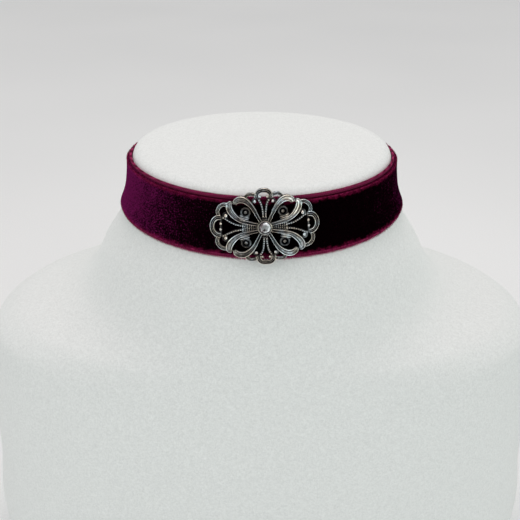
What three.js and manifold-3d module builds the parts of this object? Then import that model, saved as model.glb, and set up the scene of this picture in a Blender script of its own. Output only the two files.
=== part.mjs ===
// A choker of velvet ribbon with a pierced oval ornament and one small stone, worn on a jewellery neck bust.
// Millimetres, +Z up. The front faces -Y, and +X is to the right of someone who looks at the front.
// The origin is on the surface that the bust stands on, under the middle of the bust.

import * as THREE from "three";
import { mergeVertices } from "three/addons/utils/BufferGeometryUtils.js";
import Module from "manifold-3d";

const wasm = await Module();
wasm.setup();

// Driving sizes of the bust. Depths are measured from the neck's axis.
const bustHeight = 202;
const bustHalfWidth = 129;
const bustFrontDepth = 77;
const bustBackDepth = 67;
const neckHalfWidth = 54;
const neckFrontDepth = 55.6;
const neckBackDepth = 48;
const neckRounding = 5;
const baseRounding = 3;

// Driving sizes of the ribbon. It is woven cloth with a bare selvedge along each edge and pile between them.
const ribbonWidth = 22.6;
const ribbonCloth = 0.9;
const ribbonPile = 1.2;
const selvedgeWidth = 1.5;
const ribbonBelowNeckTop = 1.7;
const ribbonBackDrop = 6.5;

// The clearance that pieces which touch keep between them.
const seatGap = 0.3;

// Driving sizes of the clasp behind the neck, a plain double plate that holds both ends of the ribbon.
const claspPlate = 0.7;
const claspWeb = 3;
const claspGrip = 7;
const claspInset = 1.6;
const claspEase = 16;

// Driving sizes of the ornament, which is bent round the front of the neck.
const ornamentHalfWidth = 20;
const ornamentHalfHeight = 13.9;
const ornamentShift = 1.2;
const ornamentRise = 1.6;
const ornamentTilt = THREE.MathUtils.degToRad(2.6);
const ornamentDome = 1.3;
const petalWidth = 2.1;
const castThickness = 1.75;

// Driving sizes of the stone and the cup that holds it, in the middle of the ornament.
const stoneRadius = 2;
const stoneTable = 1.15;
const stoneCrown = 0.8;
const stoneGirdle = 0.2;
const stonePavilion = 0.9;
const stoneKeel = 0.35;
const cupWall = 0.28;
const cupFloor = 0.5;

// How finely round forms are faceted.
const bustSides = 60;
const ribbonSteps = 76;
const ballSides = 10;
const ballRows = 5;

const materials = {
  bustVelvet: new THREE.MeshStandardMaterial({ color: 0xd9dad7, roughness: 0.95 }),
  ribbonVelvet: new THREE.MeshStandardMaterial({ color: 0x4a0c2c, roughness: 0.9 }),
  agedSilver: new THREE.MeshStandardMaterial({ color: 0x8a8784, roughness: 0.35, metalness: 1 }),
  crystal: new THREE.MeshStandardMaterial({ color: 0xdfe6ea, roughness: 0.05 }),
  claspSteel: new THREE.MeshStandardMaterial({ color: 0xa8a9ab, roughness: 0.4, metalness: 1 }),
};

// The bust's level sections. drop is a share of the bust's height, counted down from the neck's top. wide,
// front and back say how far the section has grown from the neck's size, 0, to the bust's full size, 1.
// square is the power of the section's oval.
const bustSections = [
  { drop: 0.0, wide: 0, front: 0.0, back: 0.0, square: 2.0 },
  { drop: 0.03, wide: 0.002, front: 0.02, back: 0.0, square: 2.0 },
  { drop: 0.075, wide: 0.015, front: 0.09, back: 0.02, square: 2.0 },
  { drop: 0.1, wide: 0.033, front: 0.165, back: 0.06, square: 2.0 },
  { drop: 0.12, wide: 0.055, front: 0.245, back: 0.12, square: 2.0 },
  { drop: 0.145, wide: 0.086, front: 0.35, back: 0.22, square: 2.0 },
  { drop: 0.175, wide: 0.137, front: 0.46, back: 0.36, square: 2.0 },
  { drop: 0.21, wide: 0.195, front: 0.55, back: 0.52, square: 2.0 },
  { drop: 0.245, wide: 0.24, front: 0.63, back: 0.67, square: 2.02 },
  { drop: 0.275, wide: 0.288, front: 0.69, back: 0.79, square: 2.05 },
  { drop: 0.3, wide: 0.355, front: 0.735, back: 0.87, square: 2.08 },
  { drop: 0.325, wide: 0.49, front: 0.775, back: 0.93, square: 2.12 },
  { drop: 0.355, wide: 0.75, front: 0.82, back: 0.97, square: 2.17 },
  { drop: 0.4, wide: 0.885, front: 0.88, back: 1.0, square: 2.22 },
  { drop: 0.48, wide: 0.91, front: 0.96, back: 0.97, square: 2.28 },
  { drop: 0.6, wide: 0.94, front: 1.0, back: 0.82, square: 2.32 },
  { drop: 0.73, wide: 0.96, front: 0.96, back: 0.56, square: 2.34 },
  { drop: 0.86, wide: 1.0, front: 0.82, back: 0.3, square: 2.34 },
  { drop: 1.0, wide: 0.985, front: 0.6, back: 0.05, square: 2.3 },
];

// A smooth curve through one column of a table, without overshoot between its rows.
function along(table, by, column, at) {
  const last = table.length - 1;
  let i = table.findIndex((row) => row[by] > at) - 1;
  if (i < 0) i = at < table[0][by] ? 0 : last - 1;
  const slope = (a, b) => (table[b][column] - table[a][column]) / (table[b][by] - table[a][by]);
  const lean = (k) => {
    if (k === 0) return slope(0, 1);
    if (k === last) return slope(last - 1, last);
    const before = slope(k - 1, k);
    const after = slope(k, k + 1);
    return before * after <= 0 ? 0 : (2 * before * after) / (before + after);
  };
  const span = table[i + 1][by] - table[i][by];
  const t = THREE.MathUtils.clamp((at - table[i][by]) / span, 0, 1);
  const rise = table[i + 1][column] - table[i][column];
  return (
    table[i][column] +
    rise * t * t * (3 - 2 * t) +
    span * t * (1 - t) * (lean(i) * (1 - t) - lean(i + 1) * t)
  );
}

// The bust's section at a depth below the neck's top.
function bustSection(below) {
  const share = (column) => along(bustSections, "drop", column, below / bustHeight);
  const grown = (column, neck, bust) => neck + (bust - neck) * share(column);
  return {
    wide: grown("wide", neckHalfWidth, bustHalfWidth),
    front: grown("front", neckFrontDepth, bustFrontDepth),
    back: grown("back", neckBackDepth, bustBackDepth),
    square: share("square"),
  };
}

// The neck's axis stands where the bust's deepest points are equally far from the origin.
const axisY = (bustFrontDepth - bustBackDepth) / 2;

function levelPoint(section, turn) {
  const power = (value) => Math.sign(value) * Math.abs(value) ** (2 / section.square);
  const depth = Math.cos(turn) > 0 ? section.front : section.back;
  return new THREE.Vector2(section.wide * power(Math.sin(turn)), axisY - depth * power(Math.cos(turn)));
}

// A point on the bust's skin, or out from it. turn is 0 at the front and grows towards +X.
function skinPoint(below, turn, out = 0) {
  const section = bustSection(below);
  const at = levelPoint(section, turn);
  const step = 0.001;
  const ahead = levelPoint(section, turn + step).sub(levelPoint(section, turn - step)).normalize();
  return new THREE.Vector3(at.x + ahead.y * out, at.y - ahead.x * out, bustHeight - below);
}

// Makes a closed mesh through rings of points that run the same way. Open lofts get a flat lid at each end.
function loft(rings, lid) {
  const count = rings[0].length;
  const positions = rings.flat().flatMap((p) => [p.x, p.y, p.z]);
  const faces = [];
  const sections = lid ? rings.length - 1 : rings.length;
  for (let r = 0; r < sections; r++)
    for (let i = 0; i < count; i++) {
      const a = r * count + i;
      const b = r * count + ((i + 1) % count);
      const c = ((r + 1) % rings.length) * count + i;
      const d = ((r + 1) % rings.length) * count + ((i + 1) % count);
      faces.push(a, b, d, a, d, c);
    }
  if (lid) {
    const top = (rings.length - 1) * count;
    const clockwise = THREE.ShapeUtils.isClockWise(lid);
    for (const [i, a, b] of THREE.ShapeUtils.triangulateShape(lid, [])) {
      const [j, k] = clockwise ? [b, a] : [a, b];
      faces.push(i, k, j, top + i, top + j, top + k);
    }
  }
  const geometry = new THREE.BufferGeometry();
  geometry.setAttribute("position", new THREE.Float32BufferAttribute(positions, 3));
  geometry.setIndex(faces);
  return geometry;
}

function toSolid(geometry) {
  const bare = geometry.clone();
  bare.deleteAttribute("normal");
  bare.deleteAttribute("uv");
  const merged = mergeVertices(bare, 1e-5);
  return new wasm.Manifold(
    new wasm.Mesh({
      numProp: 3,
      vertProperties: merged.attributes.position.array,
      triVerts: new Uint32Array(merged.index.array),
    }),
  );
}

function toGeometry(solid) {
  const mesh = solid.getMesh();
  const geometry = new THREE.BufferGeometry();
  geometry.setAttribute("position", new THREE.BufferAttribute(mesh.vertProperties, 3));
  geometry.setIndex(new THREE.BufferAttribute(mesh.triVerts, 1));
  return geometry;
}

function joined(solids) {
  return solids.reduce((sum, solid) => sum.add(solid));
}

// The depths at which the ribbon's cloth is bent to the neck, from its lower edge to its upper one.
const ribbonMiddle = ribbonBelowNeckTop + ribbonWidth / 2;
const ribbonBends = [-1, -0.62, -0.2, 0.35, 1];
const ribbonDepth = (side) => ribbonMiddle - (side * ribbonWidth) / 2;

// The ribbon lies lower behind the neck than in front, and comes down to that over its sides.
const ribbonSag = (turn) => ribbonBackDrop * ((1 - Math.cos(turn)) / 2) ** 2;

// The bust: level rings from the base to the neck's top, whose edges are rounded.
function makeBust() {
  const rounding = [0, 0.3, 0.6, 1];
  const turns = Array.from({ length: bustSides }, (_, i) => (i / bustSides) * 2 * Math.PI);
  const ring = (below, inset) => turns.map((turn) => skinPoint(below, turn, -inset));
  const rounded = (share, radius) => ({
    inset: radius * (1 - Math.sin((share * Math.PI) / 2)),
    along: radius * (1 - Math.cos((share * Math.PI) / 2)),
  });
  const foot = rounding.map((share) => {
    const r = rounded(share, baseRounding);
    return ring(bustHeight - r.along, r.inset);
  });
  const depths = [
    ...bustSections.map((row) => row.drop * bustHeight),
    ...ribbonBends.map(ribbonDepth),
  ].filter((d) => d > neckRounding + 1 && d < bustHeight - baseRounding - 1);
  depths.sort((a, b) => b - a);
  const body = depths.filter((d, i) => i === 0 || depths[i - 1] - d > 0.5).map((d) => ring(d, 0));
  const brow = [...rounding].reverse().map((share) => {
    const r = rounded(share, neckRounding);
    return ring(r.along, r.inset);
  });
  const rings = [...foot, ...body, ...brow];
  return loft(rings, turns.map((turn) => new THREE.Vector2(Math.sin(turn), -Math.cos(turn))));
}

// A lid is divided as if its long sides bowed out a little, so that every point along them stays a corner.
const lidBow = 0.05;

// Carries a level profile round the neck. A profile point holds side, from the ribbon's lower edge, -1, to
// its upper edge, 1, and out, its distance from the skin.
function carryRound(profile, from, to, steps, standOff = () => 0) {
  const rings = Array.from({ length: steps + 1 }, (_, i) => {
    const turn = from + ((to - from) * i) / steps;
    const sag = ribbonSag(turn);
    return profile.map((p) => skinPoint(ribbonDepth(p.side) + sag, turn, p.out + standOff(turn)));
  });
  const middle = (Math.min(...profile.map((p) => p.out)) + Math.max(...profile.map((p) => p.out))) / 2;
  const bowed = ({ side, out }) =>
    new THREE.Vector2(out + Math.sign(out - middle) * lidBow * (1 - side * side), side);
  return loft(rings, profile.map(bowed));
}

const backRadius = neckBackDepth + seatGap + ribbonCloth;
const ribbonEnd = Math.PI - (claspWeb / 2 + seatGap) / backRadius;

// Near its ends the ribbon stands off the neck to leave room for the clasp's inner plate.
function ribbonStandOff(turn) {
  const room = claspPlate + seatGap;
  const fromEnd = (ribbonEnd - Math.abs(turn)) * backRadius - claspGrip;
  return room * (1 - THREE.MathUtils.smoothstep(fromEnd, 0, claspEase));
}

function makeRibbon() {
  const inner = seatGap;
  const cloth = inner + ribbonCloth;
  const pile = cloth + ribbonPile;
  const edge = 1 - (2 * selvedgeWidth) / ribbonWidth;
  const shoulder = edge - 0.03;
  const profile = [
    ...ribbonBends.map((side) => ({ side, out: inner })),
    { side: 1, out: cloth },
    { side: edge, out: cloth },
    { side: shoulder, out: pile },
    ...ribbonBends.slice(1, -1).map((side) => ({ side, out: pile })).reverse(),
    { side: -shoulder, out: pile },
    { side: -edge, out: cloth },
    { side: -1, out: cloth },
  ];
  return carryRound(profile, -ribbonEnd, ribbonEnd, ribbonSteps, ribbonStandOff);
}

// The clasp: an inner and an outer plate, joined by a web between the ribbon's two ends.
function makeClasp() {
  const reach = (claspWeb / 2 + seatGap + claspGrip) / backRadius;
  const half = claspWeb / 2 / backRadius;
  const tall = 1 - (2 * claspInset) / ribbonWidth;
  const outerFace = 2 * seatGap + claspPlate + seatGap + ribbonCloth + ribbonPile;
  const plate = (from, thick, halfTurn, steps) =>
    toSolid(
      carryRound(
        [
          ...ribbonBends.map((side) => ({ side: side * tall, out: from })),
          ...ribbonBends.map((side) => ({ side: side * tall, out: from + thick })).reverse(),
        ],
        Math.PI - halfTurn,
        Math.PI + halfTurn,
        steps,
      ),
    );
  return toGeometry(
    joined([
      plate(seatGap, claspPlate, reach, 8),
      plate(seatGap + claspPlate / 2, outerFace - seatGap, half, 2),
      plate(outerFace, claspPlate, reach, 8),
    ]),
  );
}

// The ornament is drawn flat, in one quarter, and repeated in all four. across and up are shares of its
// half width and half height. wide and radius are shares of the petals' width. foot, tall, groove and high
// are shares of the casting's thickness: a strip's lowest height, its thickness, the depth of the trough
// along it (a crown where it is negative), and the height of a ball's centre. steps counts the facets along.
const quarters = [
  [1, 1],
  [-1, 1],
  [-1, -1],
  [1, -1],
];
const strips = {
  steepPetal: {
    path: [
      [0.065, 0.14], [0.13, 0.32], [0.19, 0.49], [0.265, 0.62],
      [0.35, 0.705], [0.44, 0.72], [0.505, 0.67], [0.525, 0.585],
    ],
    wide: [0.48, 0.52, 0.65, 0.85, 1.05, 1.12, 0.95, 0.55],
    foot: 0.08,
    tall: 1,
    groove: 0.3,
    steps: 13,
  },
  flatPetal: {
    path: [
      [0.105, 0.075], [0.24, 0.12], [0.37, 0.165], [0.475, 0.24],
      [0.56, 0.35], [0.62, 0.485], [0.625, 0.6], [0.57, 0.635],
    ],
    wide: [0.48, 0.52, 0.65, 0.85, 1.05, 1.15, 1, 0.55],
    foot: 0.08,
    tall: 1,
    groove: 0.3,
    steps: 13,
  },
  sideArch: {
    path: [[0.64, 0.57], [0.74, 0.575], [0.815, 0.51], [0.85, 0.4], [0.825, 0.26]],
    wide: [0.57, 0.64, 0.64, 0.64, 0.57],
    foot: 0.03,
    tall: 0.7,
    groove: 0.23,
    steps: 8,
  },
  topArch: {
    path: [[0.13, 0.8], [0.2, 0.85], [0.29, 0.845], [0.355, 0.75]],
    wide: [0.52, 0.57, 0.57, 0.52],
    foot: 0.03,
    tall: 0.7,
    groove: 0.23,
    steps: 6,
  },
  uprightStem: {
    path: [[0.022, 0.27], [0.03, 0.45], [0.05, 0.6], [0.09, 0.71], [0.13, 0.75]],
    wide: [0.43, 0.45, 0.45, 0.43, 0.38],
    foot: 0.06,
    tall: 0.74,
    groove: -0.09,
    steps: 6,
  },
  levelStem: {
    path: [[0.36, 0.045], [0.5, 0.08], [0.62, 0.15], [0.72, 0.23], [0.78, 0.25]],
    wide: [0.43, 0.45, 0.45, 0.45, 0.43],
    foot: 0.06,
    tall: 0.74,
    groove: -0.09,
    steps: 6,
  },
};
const endLoops = {
  side: { path: [[0.77, 0.24], [0.87, 0.215], [0.935, 0.11], [0.95, 0]], wide: 0.83, steps: 7 },
  top: { path: [[0.125, 0.74], [0.125, 0.85], [0.08, 0.925], [0, 0.945]], wide: 0.76, steps: 6 },
};
const loopForm = { foot: 0, tall: 0.77, groove: 0.26 };

// The bar that closes each side loop, under its two balls.
const closingBar = { across: 0.785, up: 0.27, wide: 0.38, foot: 0.06, tall: 0.5, groove: -0.06, steps: 1 };

const balls = [
  { across: 0.165, up: 0.67, radius: 0.31, high: 0.49 },
  { across: 0.065, up: 0.79, radius: 0.24, high: 0.49 },
  { across: 0.69, up: 0.295, radius: 0.36, high: 0.49 },
  { across: 0.785, up: 0.075, radius: 0.25, high: 0.57 },
];

// Each stem ends in a curl round a ball. from and to are degrees round the ball, from straight outwards,
// and the curl grips the ball by curlGrip.
const curls = [
  { ball: 0, from: 120, to: -50, wide: 0.29, foot: 0.06, tall: 0.68, groove: -0.09, steps: 5 },
  { ball: 2, from: -70, to: 150, wide: 0.36, foot: 0.06, tall: 0.68, groove: -0.09, steps: 6 },
];
const curlGrip = 0.12;

// The floret in each pair of petals: a ring round a ball on a thin floor, and a ribbed leaf under its edge.
const florets = { across: 0.33, up: 0.4, radius: 0.71, wide: 0.36, foot: 0.17, tall: 0.77, groove: 0.17 };
const floretSides = 12;
const floretFloor = 0.26;
const floretBall = { radius: 0.34, high: 0.54 };
const leaf = { root: [0.375, 0.16], rootWide: 1.5, wide: 1.8, reach: 0.62, foot: 0.17, tall: 0.51 };
const leafRibs = { count: 3, from: 0.3, to: 0.8, share: 0.94, tall: 0.17 };
const crossBars = {
  upright: { from: 0.14, to: 0.33, wideFrom: 1.05, wideTo: 0.86, steps: 3 },
  level: { from: 0.1, to: 0.4, wideFrom: 0.85, wideTo: 1.5, steps: 6 },
};
const barForm = { foot: 0.07, tall: 0.6 };
const rungs = { share: 0.5, across: 0.86, tall: 0.14 };

// How far above its bar's or leaf's foot a rung or rib starts, so that their lower faces never meet.
const sunk = 0.1;

const flat = (across, up) => new THREE.Vector3(across * ornamentHalfWidth, up * ornamentHalfHeight, 0);

// A strip's cut: flat below, with a trough along the top between bevelled rims, or with a crown. Across, it
// counts in shares of the strip's width.
const rim = { bevel: 0.1, across: 0.4 };
const crown = { side: 0.6, across: 0.2 };
function stripProfile(tall, groove) {
  const trough = [[rim.across, tall], [0, tall - groove], [-rim.across, tall]];
  const ridge = [[crown.across, tall], [-crown.across, tall]];
  const side = groove > 0 ? tall - rim.bevel : tall * crown.side;
  return [[-0.5, 0], [0.5, 0], [0.5, side], ...(groove > 0 ? trough : ridge), [-0.5, side]];
}

function widthAlong(wide, t) {
  if (!Array.isArray(wide)) return wide;
  const at = t * (wide.length - 1);
  const i = Math.min(Math.floor(at), wide.length - 2);
  return THREE.MathUtils.lerp(wide[i], wide[i + 1], at - i);
}

// Lays a strip along a flat path.
function layStrip(points, { wide, foot, tall, groove, steps }, closed = false) {
  const curve = new THREE.CatmullRomCurve3(points, closed, "centripetal");
  const profile = stripProfile(tall * castThickness, groove * castThickness);
  const count = closed ? steps : steps + 1;
  const rings = Array.from({ length: count }, (_, i) => {
    const t = i / steps;
    const at = curve.getPoint(t);
    const ahead = curve.getTangent(t);
    const width = widthAlong(wide, t) * petalWidth;
    const low = foot * castThickness;
    return profile.map(
      ([s, h]) => new THREE.Vector3(at.x - ahead.y * s * width, at.y + ahead.x * s * width, low + h),
    );
  });
  return toSolid(loft(rings, closed ? null : profile.map(([s, h]) => new THREE.Vector2(s, h))));
}

function layBall({ across, up, radius, high }, [sx, sy]) {
  const ball = new THREE.SphereGeometry(radius * petalWidth, ballSides, ballRows);
  const at = flat(across * sx, up * sy);
  return toSolid(ball.translate(at.x, at.y, high * castThickness));
}

// A block with slanted ends between two heights, given by its corners in plan.
function layBlock(corners, foot, tall) {
  const shape = new THREE.Shape(corners.map((c) => new THREE.Vector2(c.x, c.y)));
  return toSolid(
    new THREE.ExtrudeGeometry(shape, { depth: tall, bevelEnabled: false }).translate(0, 0, foot),
  );
}

// A curl of a stem round its ball.
function layCurl({ ball, from, to, ...form }, [sx, sy]) {
  const centre = flat(balls[ball].across, balls[ball].up);
  const radius = (balls[ball].radius + form.wide / 2) * petalWidth - curlGrip;
  const points = Array.from({ length: form.steps + 1 }, (_, i) => {
    const turn = THREE.MathUtils.degToRad(THREE.MathUtils.lerp(from, to, i / form.steps));
    const point = new THREE.Vector3(Math.cos(turn), Math.sin(turn), 0).multiplyScalar(radius).add(centre);
    return point.multiply(new THREE.Vector3(sx, sy, 1));
  });
  return layStrip(points, form);
}

function layFloret([sx, sy]) {
  const centre = flat(florets.across * sx, florets.up * sy);
  const radius = florets.radius * petalWidth;
  const circle = Array.from({ length: floretSides }, (_, i) => {
    const turn = (i / floretSides) * 2 * Math.PI;
    return new THREE.Vector3(Math.cos(turn), Math.sin(turn), 0).multiplyScalar(radius).add(centre);
  });
  const ring = layStrip(circle, { ...florets, steps: floretSides }, true);
  const thick = floretFloor * castThickness;
  const floor = new THREE.CylinderGeometry(radius, radius, thick, floretSides)
    .rotateX(Math.PI / 2)
    .translate(centre.x, centre.y, florets.foot * castThickness + thick / 2);
  const ball = layBall({ ...florets, ...floretBall }, [sx, sy]);
  const root = flat(leaf.root[0] * sx, leaf.root[1] * sy);
  const away = centre.clone().sub(root).multiplyScalar(leaf.reach);
  const side = new THREE.Vector3(-away.y, away.x, 0).normalize();
  const corner = (forward, s) =>
    root
      .clone()
      .addScaledVector(away, forward)
      .addScaledVector(side, (s * petalWidth * THREE.MathUtils.lerp(leaf.rootWide, leaf.wide, forward)) / 2);
  const slab = (a, b, share, foot, height) =>
    layBlock([corner(b, -share), corner(b, share), corner(a, share), corner(a, -share)], foot, height);
  const { count } = leafRibs;
  const low = leaf.foot * castThickness;
  const tall = leaf.tall * castThickness;
  const ribTall = tall + leafRibs.tall * castThickness - sunk;
  const ribs = Array.from({ length: count }, (_, i) =>
    slab(
      (i + leafRibs.from) / count,
      (i + leafRibs.to) / count,
      leafRibs.share,
      low + sunk,
      ribTall,
    ),
  );
  return joined([ring, toSolid(floor), ball, slab(0, 1, 1, low, tall), ...ribs]);
}

// The tapering bars between the cup and the stems, crossed by rungs. way is +1 or -1.
function layCrossBar({ from, to, wideFrom, wideTo, steps }, upright, way) {
  const size = upright ? ornamentHalfHeight : ornamentHalfWidth;
  const place = (forward, s) => {
    const f = THREE.MathUtils.lerp(from, to, forward) * size * way;
    const w = (s * petalWidth * THREE.MathUtils.lerp(wideFrom, wideTo, forward)) / 2;
    return upright ? new THREE.Vector3(-w * way, f, 0) : new THREE.Vector3(f, w * way, 0);
  };
  const low = barForm.foot * castThickness;
  const tall = barForm.tall * castThickness;
  const rungTall = tall + rungs.tall * castThickness - sunk;
  const block = (a, b, share, foot, height) =>
    layBlock([place(a, -share), place(b, -share), place(b, share), place(a, share)], foot, height);
  const rung = (i) => {
    const a = (i + (1 - rungs.share) / 2) / steps;
    return block(a, a + rungs.share / steps, rungs.across, low + sunk, rungTall);
  };
  return joined([
    block(0, 1, 1, low, tall),
    ...Array.from({ length: steps }, (_, i) => rung(i)),
  ]);
}

// The cup that the stone sits in. The stone keeps the seat gap all round, and the cup's rim reaches its
// girdle.
const cupInside = stoneRadius + seatGap;
const cupRadius = cupInside + cupWall;
const girdleHeight = cupFloor + seatGap + stonePavilion;
const cupLip = 0.15;
const cupTaper = 0.08;
const cupSides = 18;
const cupRim = girdleHeight + stoneGirdle + cupLip;

function turned(profile) {
  const points = profile.map(([x, y]) => new THREE.Vector2(x, y));
  return toSolid(new THREE.LatheGeometry(points, cupSides).rotateX(Math.PI / 2));
}

function layCup() {
  return turned([
    [0, 0],
    [cupRadius - cupTaper, 0],
    [cupRadius, cupRim / 2],
    [cupRadius - cupTaper, cupRim],
    [0, cupRim],
  ]);
}

// The seat that is cut out of the cup, and out of whatever strip or bar reaches into it.
function layHollow() {
  return turned([
    [0, cupFloor],
    [stoneRadius * stoneKeel + seatGap, cupFloor],
    [cupInside, girdleHeight],
    [cupInside, cupRim + stoneCrown],
    [0, cupRim + stoneCrown],
  ]);
}

function flatOrnament() {
  const pieces = [layCup()];
  for (const quarter of quarters) {
    const [sx, sy] = quarter;
    for (const strip of Object.values(strips))
      pieces.push(layStrip(strip.path.map(([a, u]) => flat(a * sx, u * sy)), strip));
    for (const ball of balls) pieces.push(layBall(ball, quarter));
    for (const curl of curls) pieces.push(layCurl(curl, quarter));
    pieces.push(layFloret(quarter));
  }
  const whole = (half, mirror) => [...half, ...half.slice(0, -1).reverse().map(mirror)];
  for (const way of [1, -1]) {
    const side = whole(endLoops.side.path, ([a, u]) => [a, -u]).map(([a, u]) => flat(a * way, u));
    const top = whole(endLoops.top.path, ([a, u]) => [-a, u]).map(([a, u]) => flat(a, u * way));
    const bar = [1, -1].map((end) => flat(closingBar.across * way, closingBar.up * end));
    pieces.push(
      layStrip(side, { ...loopForm, wide: endLoops.side.wide, steps: 2 * endLoops.side.steps }),
      layStrip(top, { ...loopForm, wide: endLoops.top.wide, steps: 2 * endLoops.top.steps }),
      layStrip(bar, closingBar),
      layCrossBar(crossBars.level, false, way),
      layCrossBar(crossBars.upright, true, way),
    );
  }
  return toGeometry(joined(pieces).subtract(layHollow()));
}

// Where the flat ornament goes: its rim follows the ribbon's front sideways, and leans with it from top to
// bottom. Towards the middle it domes away from the ribbon.
const ribbonFront = (side) => bustSection(ribbonDepth(side)).front;
const ornamentLean = Math.atan((ribbonFront(-1) - ribbonFront(1)) / ribbonWidth);
const ribbonHollow = (ribbonFront(-1) + ribbonFront(1)) / 2 - ribbonFront(0);
const ornamentOut = seatGap + ribbonCloth + ribbonPile + seatGap + Math.max(ribbonHollow, 0);

function bendToNeck(geometry) {
  const position = geometry.attributes.position;
  const reach = bustSection(ribbonMiddle).wide + ornamentOut;
  for (let i = 0; i < position.count; i++) {
    const flatPoint = new THREE.Vector2(position.getX(i), position.getY(i));
    flatPoint.rotateAround(new THREE.Vector2(), ornamentTilt);
    const share = Math.hypot(position.getX(i) / ornamentHalfWidth, position.getY(i) / ornamentHalfHeight);
    const high = position.getZ(i) + ornamentDome * (1 - Math.min(share, 1) ** 2);
    const turn = (flatPoint.x + ornamentShift) / reach;
    const up = flatPoint.y + ornamentRise;
    const out = ornamentOut - up * Math.sin(ornamentLean) + high * Math.cos(ornamentLean);
    const p = skinPoint(ribbonMiddle, turn, out);
    p.z += up * Math.cos(ornamentLean) + high * Math.sin(ornamentLean);
    position.setXYZ(i, p.x, p.y, p.z);
  }
  return geometry;
}

// The stone: a brilliant with an eight sided table, star and main facets, and a pavilion cut off flat. The
// corners between its stars and mains lie at this share of the crown's height.
const starShare = 0.62;
function flatStone() {
  const ring = (radius, high, count, offset) =>
    Array.from({ length: count }, (_, i) => {
      const turn = ((i + offset) / count) * 2 * Math.PI;
      return new THREE.Vector3(radius * Math.cos(turn), radius * Math.sin(turn), high);
    });
  const girdleTop = girdleHeight + stoneGirdle;
  const table = ring(stoneTable, girdleTop + stoneCrown, 8, 0);
  const mid = ring((stoneTable + stoneRadius) / 2, girdleTop + stoneCrown * starShare, 8, 0.5);
  const upper = ring(stoneRadius, girdleTop, 16, 0);
  const lower = ring(stoneRadius, girdleHeight, 16, 0);
  const keel = ring(stoneRadius * stoneKeel, girdleHeight - stonePavilion, 8, 0.5);
  const points = [...table, ...mid, ...upper, ...lower, ...keel];
  const T = 0;
  const M = 8;
  const U = 16;
  const L = 32;
  const K = 48;
  const faces = [];
  for (let i = 1; i < 7; i++) faces.push(T, T + i, T + i + 1, K, K + i + 1, K + i);
  for (let i = 0; i < 8; i++) {
    const j = (i + 1) % 8;
    const u = 2 * i;
    const next = (2 * i + 2) % 16;
    faces.push(T + i, M + i, T + j);
    faces.push(T + i, U + u, M + i, M + i, U + next, T + j);
    faces.push(U + u, U + u + 1, M + i, M + i, U + u + 1, U + next);
    faces.push(K + i, L + u + 1, L + u, K + i, L + next, L + u + 1, K + i, K + j, L + next);
  }
  for (let i = 0; i < 16; i++) {
    const j = (i + 1) % 16;
    faces.push(L + i, L + j, U + j, L + i, U + j, U + i);
  }
  const geometry = new THREE.BufferGeometry().setFromPoints(points);
  geometry.setIndex(faces);
  return geometry;
}

function named(name, geometry, material) {
  const mesh = new THREE.Mesh(geometry, material);
  mesh.name = name;
  return mesh;
}

const choker = new THREE.Group();
choker.add(
  named("velvet_ribbon", makeRibbon(), materials.ribbonVelvet),
  named("filigree_ornament", bendToNeck(flatOrnament()), materials.agedSilver),
  named("centre_stone", bendToNeck(flatStone()), materials.crystal),
  named("back_clasp", makeClasp(), materials.claspSteel),
);

const chokerOnBust = new THREE.Group();
chokerOnBust.add(named("neck_bust", makeBust(), materials.bustVelvet), choker);

export default chokerOnBust;
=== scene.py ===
import math

import bpy
import numpy as np
from mathutils import Matrix, Vector


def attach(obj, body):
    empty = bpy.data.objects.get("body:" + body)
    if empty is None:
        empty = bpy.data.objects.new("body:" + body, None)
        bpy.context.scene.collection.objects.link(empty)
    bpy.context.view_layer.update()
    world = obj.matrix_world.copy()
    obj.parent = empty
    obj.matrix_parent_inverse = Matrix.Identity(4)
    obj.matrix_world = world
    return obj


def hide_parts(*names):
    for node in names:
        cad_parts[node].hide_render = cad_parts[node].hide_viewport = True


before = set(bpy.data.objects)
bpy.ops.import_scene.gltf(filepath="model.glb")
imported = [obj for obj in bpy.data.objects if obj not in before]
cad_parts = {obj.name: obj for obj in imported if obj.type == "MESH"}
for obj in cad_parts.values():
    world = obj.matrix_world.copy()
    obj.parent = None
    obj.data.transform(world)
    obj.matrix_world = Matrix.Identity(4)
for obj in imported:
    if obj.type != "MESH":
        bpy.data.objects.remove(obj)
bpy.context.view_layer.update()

# The studio: a wide pale table, a soft light close over the neck, weaker ones from the left, from in front and
# from two low cards before the bust, and pale walls, darker on the side that faces the ornament. The camera
# looks down at the neck from in front.
mm = 0.001


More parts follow.
